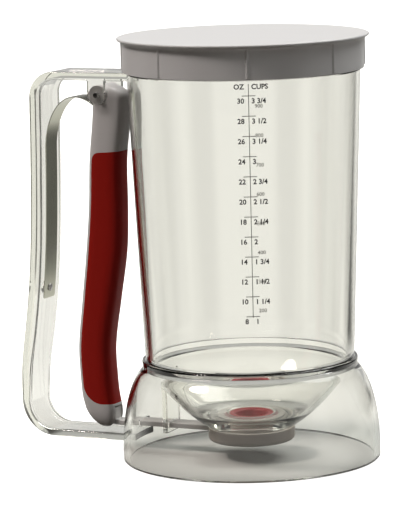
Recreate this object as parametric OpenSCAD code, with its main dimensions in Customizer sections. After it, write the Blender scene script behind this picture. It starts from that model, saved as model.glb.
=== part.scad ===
// Pancake batter dispenser: a clear cup over a bowl and a bell-shaped base, with
// a squeeze lever in the handle that draws a sliding gate from under the outlet.
// The handle points along -X, z = 0 is the table, and sizes are millimetres.

/* [Cup] */
// Height of the closed dispenser, to the top of the lid
total_h = 187; // [184:0.5:200]
// Outer radius at the foot of the cup
cup_foot_r = 46.1; // [45.6:0.1:46.6]
// Outer radius at the top of the cup, just under the lid
cup_top_r = 51; // [49:0.1:53]
// Thickness of the cup's wall
wall = 2.2; // [1.8:0.1:2.6]

/* [Base] */
// Outer radius of the bell-shaped base
base_r = 56.75; // [55:0.25:59]
// Height of the base, to the ring under the cup
base_h = 41; // [40:0.5:43]
// Height of the straight band at the table
base_band = 6; // [3:0.5:8]
// Outer radius of the base where it meets the ring
base_neck_r = 47.4; // [46.6:0.1:48]
// Thickness of the base's wall
base_wall = 2.3; // [1.8:0.1:2.5]
// Height of the ring that joins cup, bowl and base
ring_h = 4; // [3:0.5:6]
// Outer radius of that ring
ring_r = 47.6; // [47.4:0.1:49]

/* [Bowl and outlet] */
// Thickness of the bowl's wall
bowl_wall = 2.3; // [1.8:0.1:2.5]
// Radius of the bowl's curve, seen from the side
bowl_curve = 67.7; // [60:0.5:80]
// Radius of the hole in the bowl's floor
outlet_r = 10.65; // [9.5:0.05:11]
// Thickness of the bowl's floor over the seal
bowl_floor = 3.3; // [2.5:0.1:4]
// Radius of the seal ring
seal_r = 12.1; // [11.6:0.1:12.6]
// Thickness of the seal ring
seal_t = 3.6; // [3:0.1:4]
// Radius of the pouring hole through seal and valve cap
pour_r = 7; // [6:0.1:7.2]
// Distance from the cup's axis to the bar guide under the bowl
guide_at = 39.7; // [38:0.1:41]
// Thickness of the bar guide
guide_t = 2.4; // [1.6:0.1:3]

/* [Valve cap and gate] */
// Outer radius of the valve cap
cap_r = 19.2; // [19:0.1:20]
// Gap between the table and the valve cap
cap_lift = 7.5; // [6.8:0.1:8]
// Thickness of the valve cap's floor
cap_floor = 3.1; // [2.6:0.1:3.6]
// Thickness of the valve cap's wall
cap_wall = 1.3; // [1.1:0.1:1.5]
// Turn that frees the valve cap, in degrees
cap_turn = 30; // [29:1:34]
// Thickness of the gate
gate_t = 2.1; // [1.8:0.1:2.4]
// Radius of the gate's round tip
gate_r = 8.5; // [8.2:0.1:8.8]
// Width of the gate's bar
bar_w = 9; // [8:0.1:9.6]
// Height of the eye at the end of the bar
eye_h = 7.3; // [7.2:0.1:8]
// Radius of the pin that links lever and gate
link_r = 1.5; // [1.2:0.1:1.6]

/* [Handle] */
// Reach of the handle from the cup's axis
handle_reach = 109.6; // [107:0.2:114]
// Width of the handle
handle_w = 20; // [19.5:0.5:24]
// Thickness of the handle's outer web
web = 2.8; // [2.2:0.1:3.2]
// Thickness of the handle's side flanges
flange_t = 2.4; // [1.8:0.1:2.6]
// Depth of the channel along the handle's leg, over the web
channel = 5.3; // [4.8:0.1:5.8]
// Height of the handle's underside above the table
arm_low = 4.9; // [4:0.1:5.2]
// Drop from the lid's edge to the handle's top
arm_drop = 1.9; // [1.5:0.1:4]
// How far the upper leg stands back from the belly
belly = 8.4; // [6:0.2:9]
// Radius of the handle's upper corner
corner_up = 12; // [9:0.5:14]
// Radius of the handle's lower corner
corner_low = 16; // [12:0.5:18]

/* [Lever] */
// Distance from the cup's axis to the lever's pivot
pivot_at = 67.8; // [67:0.1:69]
// Drop from the handle's top to the pivot
pivot_drop = 10.1; // [9.6:0.1:11]
// Radius of the pivot pin
pivot_r = 1.3; // [1.1:0.05:1.6]
// Width of the lever
lever_w = 14; // [13.4:0.1:14.4]
// Swing of the lever, in degrees
lever_swing = 6; // [5.5:0.1:6]
// Thickness of the soft grip
grip_t = 2.5; // [1.8:0.1:3]
// Width of the white edge that the grip leaves along the lever's back
grip_edge = 2.5; // [1.6:0.1:3]

/* [Spring] */
// Width of the leaf spring
spring_w = 10.4; // [9:0.1:11]
// Thickness of the leaf spring
spring_t = 0.5; // [0.4:0.05:0.6]
// Distance from the handle's outer face to the leaf spring
spring_off = 5.6; // [5.2:0.1:6.4]
// Height of the leaf spring's lower end above the table
spring_low = 66.5; // [60:0.5:80]
// Length of the stretch of leaf spring that runs beside the handle's leg
spring_run = 69.5; // [60:0.5:74]

/* [Lid] */
// Thickness of the lid's top
lid_t = 1.8; // [1.4:0.1:2.4]
// Height of the lid's outer skirt
lid_skirt_h = 15.1; // [14:0.1:18]
// Thickness of the lid's skirt and of its plug ring
lid_wall = 1.6; // [1.2:0.1:2]
// How far the lid's flange stands out over its skirt
lid_lip = 2.35; // [1.5:0.05:3.5]
// Depth of the plug ring inside the cup
plug_h = 7.2; // [5:0.1:9]
// Number of grip ribs round the lid
rib_n = 8; // [6:1:12]
// How far a grip rib stands out
rib_out = 0.6; // [0.4:0.1:1]
// Width of a grip rib
rib_w = 1.1; // [0.8:0.1:1.6]

/* [Hidden] */
$fn = 96;

// Clearances
gap = 0.3;          // between pieces that move past each other
play = 0.15;        // above and below the sliding gate
fit = 0.02;         // round a pin that is pressed in
run = 0.06;         // round a pin that turns
eps = 0.5;          // how far a cutter passes the face it cuts

// The cup's axis stands off the origin, which is under the middle of the whole length
cup_x = (handle_reach - base_r) / 2;

// Levels of the valve, from the table up
floor_z = cap_lift + cap_floor;
gate_z = floor_z + play;
roof_z = gate_z + gate_t + play;
seal_top = roof_z + seal_t;
bowl_z = seal_top + bowl_floor;
neck_z = floor_z + gap;
funnel_z = roof_z + 0.6;
cap_top = funnel_z - 0.2;

// Levels of the cup and lid
cup_z = base_h + ring_h;
roof_gap = 0.5;
rim_z = total_h - lid_t - roof_gap;
lid_z = total_h - lid_skirt_h;
land_z = lid_z - 0.4;
land_r = cup_top_r - 0.25;
lid_in_r = land_r + gap;
lid_out_r = lid_in_r + lid_wall;
plug_r = land_r - wall - gap;
rib_a = -63.5;      // direction of the first grip rib

// Bayonet of the valve cap
cap_in_r = cap_r - cap_wall;
lug_r = cap_in_r - gap;
neck_r = lug_r - 1;
tab_r = neck_r + gap;
lug_h = 1.2;
lug_a = 14;         // half the angle that a lug or a tab takes
slot_w = gate_r + gap;
notch_a = asin(slot_w / cap_in_r) + 2;

// Ring that carries the seal, and the seal's collar through the outlet
carrier_r = 15.3;
collar_r = outlet_r - 0.05;
collar_drop = 0.3;  // from the bowl's floor down to the collar's top

// Lips of the handle's channel: on the two arms, and at the foot of the leg
arm_lip_up = 3.7;
arm_lip_low = 3.1;
leg_lip_low = 3.8;
lip_up_r = 7;
lip_low_r = 12;

// Pivot, link and the gate's travel
arm_top = lid_z - arm_drop;
pivot_z = arm_top - pivot_drop;
ear_r = 4.2;
boss_r = 4.3;
link_at = pivot_at + 1;
link_z = gate_z + 3.25;
link_drop = pivot_z - link_z;
link_rise = link_drop * (1 - cos(lever_swing)) + (link_at - pivot_at) * sin(lever_swing);
eye_w = 6.2;
eye_l = 5.6;
fork_w = eye_w + 2 * gap;
link_l = fork_w + 3;
tongue_l = 8;       // straight sides of the tongue behind its round tip
guide_z = cap_lift + 1;

// Lever: height of its foot and head, and how its body runs between them
foot_z = gate_z - 1.55;
head_z = pivot_z + 4.1;
foot_dome = 10;
head_dome = 6;
// Share of the height, middle of the section from the pivot outwards, depth of the section
stations = [[0, 2.5, 15], [0.08, 6.1, 15.4], [0.15, 7.2, 15.4], [0.24, 7.5, 15.4], [0.38, 4.5, 16.4],
            [0.52, 1.4, 17.4], [0.65, 0, 16.3], [0.78, -0.6, 15.5], [0.91, -2.9, 15.8], [0.97, -3.1, 15.7],
            [1, -1.5, 15.5]];
grip_low = 21;
grip_high = 134;
ring_n = 20;        // points round one section of the lever
squareness = 3.2;   // 2 is an ellipse, and a larger number is squarer

// Leaf spring
spring_bend = spring_low + spring_run;
rivet_z = spring_low + 4.7;
rivet_r = 1.1;
rivet_head_r = 1.7;
rivet_boss_r = 2.8;

// ---- Curves ----

// Points of an arc in the plane
function arc(c, r, a0, a1, n) =
    [for (i = [0:n]) let (a = a0 + (a1 - a0) * i / n) [c[0] + r * cos(a), c[1] + r * sin(a)]];

function reversed(v) = [for (i = [len(v) - 1:-1:0]) v[i]];

function bezier(p, n) = [for (i = [0:n]) let (t = i / n, s = 1 - t)
    s * s * s * p[0] + 3 * s * s * t * p[1] + 3 * s * t * t * p[2] + t * t * t * p[3]];

// Smooth value between the rows of a table, by the row's first number
function row_of(tab, s, i = 0) = i >= len(tab) - 2 || s < tab[i + 1][0] ? i : row_of(tab, s, i + 1);
function slope(tab, i, k) =
    let (a = max(i - 1, 0), b = min(i + 1, len(tab) - 1)) (tab[b][k] - tab[a][k]) / (tab[b][0] - tab[a][0]);
function smooth(tab, s, k) =
    let (i = row_of(tab, s), d = tab[i + 1][0] - tab[i][0], t = (s - tab[i][0]) / d)
    (2 * t - 3) * t * t * (tab[i][k] - tab[i + 1][k]) + tab[i][k]
    + d * (t * (1 - t) * (1 - t) * slope(tab, i, k) - t * t * (1 - t) * slope(tab, i + 1, k));

// The bowl's outer curve is a circle through its top and its shoulder on the valve cap
bowl_top_r = cup_foot_r - wall - 0.1;
shoulder_r = cap_r - 0.45;
bowl_chord = [bowl_top_r - shoulder_r, base_h - funnel_z];
bowl_mid = [bowl_top_r + shoulder_r, base_h + funnel_z] / 2;
bowl_rise = sqrt(bowl_curve * bowl_curve - bowl_chord * bowl_chord / 4);
bowl_c = bowl_mid + bowl_rise * [-bowl_chord[1], bowl_chord[0]] / norm(bowl_chord);
function bowl_angle(z, r) = asin((z - bowl_c[1]) / r);

// Where the shell of the bowl meets the piece that holds its floor and neck
seat_r = shoulder_r + 1.25;
seat_z = bowl_c[1] - sqrt(pow(bowl_curve, 2) - pow(seat_r - bowl_c[0], 2));
shell_arc = arc(bowl_c, bowl_curve, bowl_angle(seat_z, bowl_curve), bowl_angle(base_h, bowl_curve), 16);

// Outer and inner radius of the bell-shaped base at a height
bell_w = (base_r - base_neck_r) / 0.68;
bell_h = (base_h - base_band) / 0.946;
function bell_r(z, t) =
    base_r - bell_w + (bell_w - t) * sqrt(max(0, 1 - pow(max(0, z - base_band) / (bell_h - t), 2)));

// Distance of the handle's outer face from the cup's axis at a height
belly_z = arm_low + corner_low + 7;
leg_top = arm_top - corner_up;
belly_k = 0.093;    // sharpness of the belly
function leg(z) =
    let (u = max(0, z - belly_z) / (leg_top - belly_z)) handle_reach
    - belly * (1 + belly_k) * u * u / (u * u + belly_k);

// The handle's loop seen from the side, d inside its outer face
function loop(d) = concat(
    [[cup_foot_r, arm_top - d]],
    arc([leg(leg_top) - corner_up, leg_top], corner_up - d, 90, 0, 10),
    [for (i = [1:15]) let (z = leg_top + (belly_z - leg_top) * i / 16) [leg(z) - d, z]],
    [[handle_reach - d, belly_z]],
    arc([handle_reach - corner_low, arm_low + corner_low], corner_low - d, 0, -90, 10),
    [[cup_foot_r, arm_low + d]]);

// Inner edge of the handle's side flanges, which stand far in along the leg only
lip_top = arm_top - arm_lip_up - lip_up_r;
lip_foot = arm_low + arm_lip_low + lip_low_r;
function lip(z) = leg_lip_low + (channel - leg_lip_low) * min(1, max(0, (z - lip_foot) / 28));
function lip_line() = concat(
    [[cup_foot_r, arm_top - arm_lip_up]],
    arc([leg(lip_top) - channel - lip_up_r, lip_top], lip_up_r, 90, 0, 8),
    [for (i = [1:15]) let (z = lip_top + (lip_foot - lip_top) * i / 16) [leg(z) - lip(z), z]],
    arc([handle_reach - leg_lip_low - lip_low_r, lip_foot], lip_low_r, 0, -90, 8),
    [[cup_foot_r, arm_low + arm_lip_low]]);

// The lever's section at a height: middle, depth and width
function along(z) = (z - foot_z) / (head_z - foot_z);
function dome(z) =
    let (a = max(0, foot_z + foot_dome - z) / foot_dome, b = max(0, z - head_z + head_dome) / head_dome)
    sqrt(max(0.02, 1 - max(a, b) * max(a, b)));
function mid_at(z) = pivot_at + smooth(stations, along(z), 1);
function depth_at(z) = smooth(stations, along(z), 2) * dome(z);
function back_at(z) = mid_at(z) + depth_at(z) / 2;
function front_at(z) = mid_at(z) - depth_at(z) / 2;
function rounded(v) = sign(v) * pow(abs(v), 2 / squareness);
function section(z) = [for (i = [0:ring_n - 1]) let (a = 360 * i / ring_n)
    [cup_x - mid_at(z) + depth_at(z) / 2 * rounded(cos(a)), lever_w / 2 * sqrt(dome(z)) * rounded(sin(a)), z]];
lever_z = concat(
    [for (i = [0:5]) foot_z + foot_dome * (1 - cos(15 * i))],
    [for (i = [1:17]) foot_z + foot_dome + (head_z - head_dome - foot_z - foot_dome) * i / 18],
    [for (i = [6:-1:0]) head_z - head_dome * (1 - cos(15 * i))]);

// Middle line of the leaf spring, from the lever's head round and down beside the leg
spring_root = [pivot_at + 1, pivot_z - 6.8];
spring_line = concat(
    [spring_root],
    bezier([[pivot_at + 3.7, pivot_z - 4.9], [pivot_at + 18.4, pivot_z + 5.5],
            [leg(spring_bend) - spring_off - 0.7, pivot_z - 9.7],
            [leg(spring_bend) - spring_off, spring_bend]], 18),
    [for (i = [1:10]) let (z = spring_bend - spring_run * i / 10) [leg(z) - spring_off, z]]);
function normal_at(v, i) =
    let (d = v[min(i + 1, len(v) - 1)] - v[max(i - 1, 0)]) [-d[1], d[0]] / norm(d);
function beside(v, d) = [for (i = [0:len(v) - 1]) v[i] + d * normal_at(v, i)];

// ---- Shared shapes ----

// Turns an outline (distance from the cup's axis, height) into a plate w thick
module side_plate(w, y = 0) {
    translate([cup_x, y, 0]) mirror([1, 0, 0]) rotate([90, 0, 0]) linear_extrude(w, center = true) children();
}

// A body of revolution about the cup's axis
module turned() {
    translate([cup_x, 0, 0]) rotate_extrude() children();
}

// A round bar across the handle
module cross_pin(at, z, r, len) {
    side_plate(len) translate([at, z]) circle(r);
}

// A wedge about the cup's axis between two angles
module wedge(r, a0, a1, z0, z1) {
    translate([cup_x, 0, z0]) linear_extrude(z1 - z0) polygon(concat([[0, 0]], arc([0, 0], r, a0, a1, 24)));
}

// The space taken by cup and base, which the handle ends on
module jug_outside() {
    turned() polygon(concat(
        [[0, -eps], [base_r, -eps]],
        [for (i = [0:24]) let (z = base_band + (base_h - base_band) * i / 24) [bell_r(z, 0), z]],
        [[cup_foot_r, base_h], [cup_foot_r, cup_z], [cup_top_r, land_z], [0, land_z]]));
}

// The space taken by the bowl, which the bar guide ends on
module bowl_outside() {
    turned() polygon(concat([[0, cup_z], [0, seat_z]], shell_arc, [[base_neck_r, base_h], [base_neck_r, cup_z]]));
}

module lever_loft() {
    n = ring_n;
    last = len(lever_z) - 1;
    polyhedron(
        points = [for (z = lever_z) each section(z)],
        faces = concat(
            [[for (i = [0:n - 1]) i]],
            [for (k = [0:last - 1]) for (i = [0:n - 1]) let (j = (i + 1) % n) [k * n + i, k * n + n + i, k * n + n + j]],
            [for (k = [0:last - 1]) for (i = [0:n - 1]) let (j = (i + 1) % n) [k * n + i, k * n + n + j, k * n + j]],
            [[for (i = [n - 1:-1:0]) last * n + i]]));
}

// The part of the lever that the soft grip takes, round a core that it leaves free
module grip_zone() {
    rise = [for (i = [0:14]) grip_low + 9 + (grip_high - 5 - grip_low - 9) * i / 14];
    reach = pivot_at - lever_w;
    difference() {
        side_plate(lever_w + 2) polygon(concat(
            [[reach, grip_low - 1], [front_at(grip_low), grip_low - 1]],
            arc([back_at(grip_low + 9) - grip_edge - 10, grip_low + 9], 10, -80, 0, 6),
            [for (z = rise) [back_at(z) - grip_edge, z]],
            arc([back_at(grip_high - 4) - grip_edge - 4, grip_high - 4], 4, 10, 90, 5),
            [[reach, grip_high + 1]]));
        side_plate(lever_w - 2 * grip_t) polygon(concat(
            [[pivot_at + lever_w, grip_low - 2], [front_at(grip_low + 4) + grip_t, grip_low - 2]],
            [for (z = rise) [front_at(z) + grip_t, z]],
            [[front_at(grip_high - 4) + grip_t, grip_high + 2], [pivot_at + lever_w, grip_high + 2]]));
    }
}

// ---- Pieces ----

module cup() {
    color([0.85, 0.86, 0.82, 0.4]) turned() polygon([
        [cup_foot_r, cup_z], [cup_top_r, land_z - 0.4], [land_r, land_z], [land_r, rim_z - 0.6],
        [land_r - 0.6, rim_z], [land_r - wall + 0.6, rim_z], [land_r - wall, rim_z - 0.6],
        [land_r - wall, land_z], [cup_top_r - wall, land_z - 0.4], [cup_foot_r - wall, cup_z]]);
}

module bowl() {
    fillet = 8;
    inner = bowl_curve - bowl_wall;
    fillet_c = [bowl_c[0] + sqrt(pow(inner - fillet, 2) - pow(bowl_c[1] - bowl_z - fillet, 2)), bowl_z + fillet];
    turn_a = atan2(fillet_c[1] - bowl_c[1], fillet_c[0] - bowl_c[0]);
    // Shell with the ring round its top
    color([0.85, 0.86, 0.82, 0.4]) turned() polygon(concat(
        shell_arc,
        [[base_neck_r, base_h], [ring_r, base_h + 1], [ring_r, cup_z - 1], [cup_foot_r, cup_z]],
        arc(bowl_c, inner, bowl_angle(cup_z, inner), turn_a, 14),
        arc(fillet_c, fillet, turn_a, -90, 8),
        [[seat_r, bowl_z]]));
}

module outlet_neck() {
    color([0.85, 0.86, 0.82, 0.4]) difference() {
        union() {
            // Floor of the bowl and the neck under it
            turned() polygon(concat(
                [[0, neck_z], [neck_r, neck_z], [neck_r, funnel_z]],
                arc(bowl_c, bowl_curve, bowl_angle(funnel_z, bowl_curve), bowl_angle(seat_z, bowl_curve), 2),
                [[seat_r, bowl_z], [0, bowl_z]]));
            // Bayonet lugs
            difference() {
                for (a = [90, -90])
                    wedge(lug_r, a - lug_a, a + lug_a, neck_z, neck_z + lug_h);
                turned() translate([0, neck_z - eps]) square([neck_r - eps, lug_h + 2 * eps]);
            }
        }
        // Outlet, seal pocket and the slot that the gate slides in
        translate([cup_x, 0, neck_z - eps]) cylinder(h = bowl_z - neck_z + 2 * eps, r = outlet_r);
        translate([cup_x, 0, roof_z]) cylinder(h = seal_t, r = carrier_r + fit);
        translate([0, 0, neck_z - eps]) linear_extrude(roof_z - neck_z + eps) {
            translate([cup_x, 0]) circle(slot_w);
            translate([cup_x - cap_r, -slot_w]) square([cap_r, 2 * slot_w]);
        }
    }
}

module bar_guide() {
    color([0.85, 0.86, 0.82, 0.4]) difference() {
        translate([cup_x - guide_at - guide_t / 2, -bar_w / 2 - 2.1, guide_z])
            cube([guide_t, bar_w + 4.2, base_h - guide_z]);
        bowl_outside();
        // Window for the gate's bar
        translate([cup_x - guide_at - guide_t, -bar_w / 2 - gap, gate_z - gap])
            cube([2 * guide_t, bar_w + 2 * gap, gate_t + 2 * gap]);
    }
}

module base_skirt() {
    top_in = bowl_top_r + 0.6;
    color([0.85, 0.86, 0.82, 0.4]) difference() {
        turned() polygon(concat(
            [[base_r - base_wall + 0.6, 0], [base_r - 0.6, 0], [base_r, 0.6]],
            [for (i = [0:24]) let (z = base_band + (base_h - base_band) * i / 24) [bell_r(z, 0), z]],
            [for (i = [24:-1:0]) let (z = base_band + (base_h - base_band) * i / 24)
                [max(top_in, bell_r(z, base_wall)), z]],
            [[base_r - base_wall, 0.6]]));
        // Window for the gate's bar
        translate([cup_x - base_r - eps, -bar_w / 2 - 2 * gap, gate_z - 2 * gap])
            cube([base_wall + 3, bar_w + 4 * gap, gate_t + 4 * gap]);
    }
}

module handle() {
    ear_y = (handle_w - flange_t) / 2;
    boss_end = leg(rivet_z) - spring_off + spring_t / 2 + 0.25;
    color([0.85, 0.86, 0.82, 0.4]) difference() {
        union() {
            side_plate(handle_w) polygon(concat(loop(0), reversed(loop(web))));
            for (y = [-ear_y, ear_y])
                side_plate(flange_t, y) {
                    polygon(concat(loop(0), reversed(lip_line())));
                    translate([pivot_at, pivot_z]) circle(ear_r);
                    translate([pivot_at - ear_r, pivot_z]) square([2 * ear_r, pivot_drop - web / 2]);
                }
            // Boss that holds the leaf spring's lower end
            translate([cup_x - leg(rivet_z) + web / 2, 0, rivet_z]) rotate([0, 90, 0])
                cylinder(h = leg(rivet_z) - web / 2 - boss_end, r = rivet_boss_r);
        }
        jug_outside();
        cross_pin(pivot_at, pivot_z, pivot_r + fit, handle_w + 2);
        translate([cup_x - leg(rivet_z) + web, 0, rivet_z]) rotate([0, 90, 0])
            cylinder(h = spring_off, r = rivet_r + fit);
    }
}

module outlet_seal() {
    collar_z = bowl_z - collar_drop;
    color([0.7, 0.05, 0.08]) turned() polygon([
        [pour_r, roof_z], [seal_r, roof_z], [seal_r, seal_top - fit], [collar_r, seal_top - fit],
        [collar_r, collar_z - 0.4], [collar_r - 0.4, collar_z], [pour_r + 1.2, collar_z], [pour_r, collar_z - 1]]);
}

module seal_carrier() {
    color([0.93, 0.93, 0.9]) turned() polygon([
        [seal_r + fit, roof_z], [carrier_r, roof_z], [carrier_r, seal_top - fit], [seal_r + fit, seal_top - fit]]);
}

module pivot_pin() {
    color("dimgray") cross_pin(pivot_at, pivot_z, pivot_r, handle_w);
}

module leaf_spring() {
    color([0.55, 0.56, 0.5]) difference() {
        side_plate(spring_w)
            polygon(concat(beside(spring_line, spring_t / 2), reversed(beside(spring_line, -spring_t / 2))));
        translate([cup_x - leg(rivet_z), 0, rivet_z]) rotate([0, 90, 0])
            cylinder(h = 2 * spring_off, r = rivet_r + fit);
    }
}

module spring_rivet() {
    head_at = leg(rivet_z) - spring_off - spring_t / 2 - 0.3;
    color("silver") translate([cup_x - head_at, 0, rivet_z]) rotate([0, 90, 0]) {
        rotate_extrude() polygon([[0, 0], [rivet_head_r, 0], [rivet_head_r - 0.2, 0.6], [rivet_head_r - 1.1, 1.1], [0, 1.2]]);
        translate([0, 0, -(leg(rivet_z) - web - 0.3 - head_at)])
            cylinder(h = leg(rivet_z) - web - 0.3 - head_at, r = rivet_r);
    }
}

module lid() {
    lip_r = lid_out_r + lid_lip;
    lip_t = 1.3;
    cove = lid_lip - lip_t / 2;
    skirt_top = total_h - lip_t - cove;
    color([0.93, 0.94, 0.92]) {
        turned() polygon(concat(
            [[0, total_h - lid_t], [plug_r - lid_wall, total_h - lid_t],
             [plug_r - lid_wall, total_h - lid_t - plug_h], [plug_r - 0.4, total_h - lid_t - plug_h],
             [plug_r, total_h - lid_t - plug_h + 0.8], [plug_r, total_h - lid_t], [lid_in_r, total_h - lid_t],
             [lid_in_r, lid_z], [lid_out_r, lid_z]],
            arc([lip_r - lip_t / 2, skirt_top], cove, 180, 90, 6),
            arc([lip_r - lip_t / 2, total_h - lip_t / 2], lip_t / 2, -60, 90, 6),
            [[0, total_h]]));
        for (i = [0:rib_n - 1])
            translate([cup_x, 0, lid_z + 0.8]) rotate(rib_a + 360 * i / rib_n)
                linear_extrude(skirt_top - lid_z - 1.6) polygon([
                    [lid_out_r - eps, -rib_w / 2], [lid_out_r + rib_out / 2, -rib_w / 2],
                    [lid_out_r + rib_out, -rib_w / 4], [lid_out_r + rib_out, rib_w / 4],
                    [lid_out_r + rib_out / 2, rib_w / 2], [lid_out_r - eps, rib_w / 2]]);
    }
}

module lever_core() {
    color([0.93, 0.93, 0.9]) difference() {
        union() {
            difference() {
                lever_loft();
                grip_zone();
            }
            cross_pin(pivot_at, pivot_z, boss_r, handle_w - 2 * flange_t - 2 * gap);
        }
        cross_pin(pivot_at, pivot_z, pivot_r + run, handle_w);
        // Bore for the link pin, blind on one side
        side_plate(link_l / 2 + fit + lever_w, (lever_w - link_l / 2 - fit) / 2)
            translate([link_at, link_z]) circle(link_r + fit);
        // Fork round the gate's eye, open to the cup's side and below
        side_plate(fork_w) polygon([
            [pivot_at - lever_w, foot_z - 2], [link_at + eye_l / 2 + 0.8, foot_z - 2],
            [link_at + eye_l / 2 + 0.8, gate_z + eye_h + 0.9], [pivot_at - lever_w, gate_z + eye_h + 0.9]]);
        // Slot for the leaf spring's upper end
        side_plate(spring_w + 2 * gap) {
            d = spring_line[1] - spring_root;
            translate(spring_root - 0.4 * d / norm(d)) rotate(atan2(d[1], d[0]))
                translate([0, -spring_t / 2 - 0.2]) square([lever_w, spring_t + 0.4]);
        }
    }
}

module lever_grip() {
    color([0.62, 0.04, 0.05]) intersection() {
        lever_loft();
        grip_zone();
    }
}

module link_pin() {
    color("silver") cross_pin(link_at, link_z, link_r, link_l);
}

module gate() {
    neck_at = link_at - 5.3;
    color([0.8, 0.8, 0.76]) difference() {
        union() {
            translate([cup_x, 0, gate_z]) linear_extrude(gate_t) {
                circle(gate_r);
                translate([-tongue_l, -gate_r]) square([tongue_l, 2 * gate_r]);
                polygon([[-tongue_l, -gate_r], [-tongue_l, gate_r], [-tongue_l - 4, bar_w / 2],
                         [-tongue_l - 4, -bar_w / 2]]);
                translate([-neck_at, -bar_w / 2]) square([neck_at - tongue_l, bar_w]);
                translate([-link_at, -eye_w / 2]) square([link_at - tongue_l, eye_w]);
            }
            translate([cup_x - link_at - eye_l / 2, -eye_w / 2, gate_z]) cube([eye_l, eye_w, eye_h]);
        }
        // Upright slot that lets the link pin rise as the lever swings
        for (z = [link_z, link_z + link_rise])
            cross_pin(link_at, z, link_r + run + 0.04, handle_w);
        side_plate(handle_w) translate([link_at - link_r - run - 0.04, link_z])
            square([2 * (link_r + run + 0.04), link_rise]);
    }
}

module valve_cap() {
    edge = 2;
    color([0.9, 0.9, 0.88]) difference() {
        union() {
            turned() polygon(concat(
                [[pour_r, cap_lift], [cap_r - edge, cap_lift]],
                arc([cap_r - edge, cap_lift + edge], edge, -90, 0, 6),
                [[cap_r, cap_top], [cap_in_r, cap_top], [cap_in_r, floor_z], [pour_r, floor_z]]));
            // Tabs that hook over the lugs
            difference() {
                for (a = [90, -90])
                    wedge(cap_in_r + 0.4, a - lug_a, a + lug_a, neck_z + lug_h + 0.2, cap_top);
                turned() translate([0, cap_lift]) square([tab_r, cap_top]);
            }
        }
        // Notch that clears the gate, also while the cap turns
        wedge(cap_r + 3, 180 - notch_a - cap_turn, 180 + notch_a, floor_z, cap_top + eps);
    }
}

cup();
bowl();
outlet_neck();
bar_guide();
base_skirt();
handle();
outlet_seal();
seal_carrier();
pivot_pin();
leaf_spring();
spring_rivet();
lid();
lever_core();
lever_grip();
link_pin();
gate();
valve_cap();
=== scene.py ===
import math

import bpy
from mathutils import Matrix, Vector


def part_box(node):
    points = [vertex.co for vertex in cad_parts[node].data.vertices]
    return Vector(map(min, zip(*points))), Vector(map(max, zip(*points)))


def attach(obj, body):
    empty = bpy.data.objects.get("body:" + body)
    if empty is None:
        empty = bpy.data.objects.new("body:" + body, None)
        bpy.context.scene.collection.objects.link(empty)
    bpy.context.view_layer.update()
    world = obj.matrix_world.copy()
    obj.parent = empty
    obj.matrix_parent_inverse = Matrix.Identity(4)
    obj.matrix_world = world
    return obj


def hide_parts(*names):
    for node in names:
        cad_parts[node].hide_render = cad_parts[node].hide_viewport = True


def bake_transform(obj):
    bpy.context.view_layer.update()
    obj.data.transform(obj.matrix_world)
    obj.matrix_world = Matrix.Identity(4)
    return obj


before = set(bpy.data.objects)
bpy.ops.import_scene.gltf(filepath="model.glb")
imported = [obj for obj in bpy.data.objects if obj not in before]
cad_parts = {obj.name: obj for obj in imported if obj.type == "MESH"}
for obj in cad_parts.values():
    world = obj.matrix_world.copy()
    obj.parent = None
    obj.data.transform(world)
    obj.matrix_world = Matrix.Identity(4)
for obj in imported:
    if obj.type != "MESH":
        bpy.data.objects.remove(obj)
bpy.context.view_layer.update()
mm = 0.001
baseLow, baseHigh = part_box("base_skirt")
cupX = (baseLow.x + baseHigh.x) / 2  # the cup's axis stands off the origin
weldGap = 0.002 * mm  # points nearer than this are one point

# metres and degrees; lens and sensor in millimetres
view = {"distance": 1.458, "height": 0.3095, "turn": 24.8, "yaw": -0.823, "pitch": 8.629, "roll": -1.467,
        "lens": 232.5, "sensor": 36, "near": 0.1, "far": 20}


def placeCamera():
    turn = math.radians(view["turn"])
    camera = bpy.data.cameras.new("viewCamera")
    camera.lens = view["lens"]
    camera.sensor_width = view["sensor"]
    camera.clip_start = view["near"]
    camera.clip_end = view["far"]
    holder = bpy.data.objects.new("viewCamera", camera)
    bpy.context.scene.collection.objects.link(holder)
    away = view["distance"]
    place = Vector((cupX + away * math.sin(turn), -away * math.cos(turn), view["height"]))
    holder.matrix_world = (Matrix.Translation(place)
                           @ Matrix.Rotation(turn - math.radians(view["yaw"]), 4, "Z")
                           @ Matrix.Rotation(math.radians(90 - view["pitch"]), 4, "X")
                           @ Matrix.Rotation(math.radians(view["roll"]), 4, "Z"))
    bpy.context.scene.camera = holder


def pickAlone(piece):
    bpy.ops.object.select_all(action="DESELECT")
    piece.select_set(True)
    bpy.context.view_layer.objects.active = piece


def traceOutline(name, corners):
    # a plane is merged to one corner, which is then extruded from point to point
    bpy.ops.object.select_all(action="DESELECT")
    bpy.ops.mesh.primitive_plane_add(size=mm, location=(0, 0, 0))
    piece = bpy.context.object
    piece.name = piece.data.name = name
    bpy.ops.object.mode_set(mode="EDIT")
    bpy.ops.mesh.merge(type="CENTER")
    bpy.ops.transform.translate(value=corners[0])
    here = corners[0]
    for corner in corners[1:] + [corners[0]]:
        bpy.ops.mesh.extrude_region_move(TRANSFORM_OT_translate={"value": corner - here})
        here = corner
    bpy.ops.mesh.select_all(action="SELECT")
    bpy.ops.mesh.remove_doubles(threshold=weldGap)
    return piece


def closeUp(piece):
    bpy.ops.mesh.select_all(action="SELECT")
    bpy.ops.mesh.remove_doubles(threshold=weldGap)
    bpy.ops.mesh.normals_make_consistent(inside=False)
    bpy.ops.object.mode_set(mode="OBJECT")
    return piece


def turnPiece(name, profile, steps=144):
    # profile: (distance from the cup's axis, height) in millimetres
    piece = traceOutline(name, [Vector((cupX + r * mm, 0, z * mm)) for r, z in profile])
    bpy.ops.mesh.spin(steps=steps, angle=math.tau, center=(cupX, 0, 0), axis=(0, 0, 1))
    return closeUp(piece)


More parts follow.
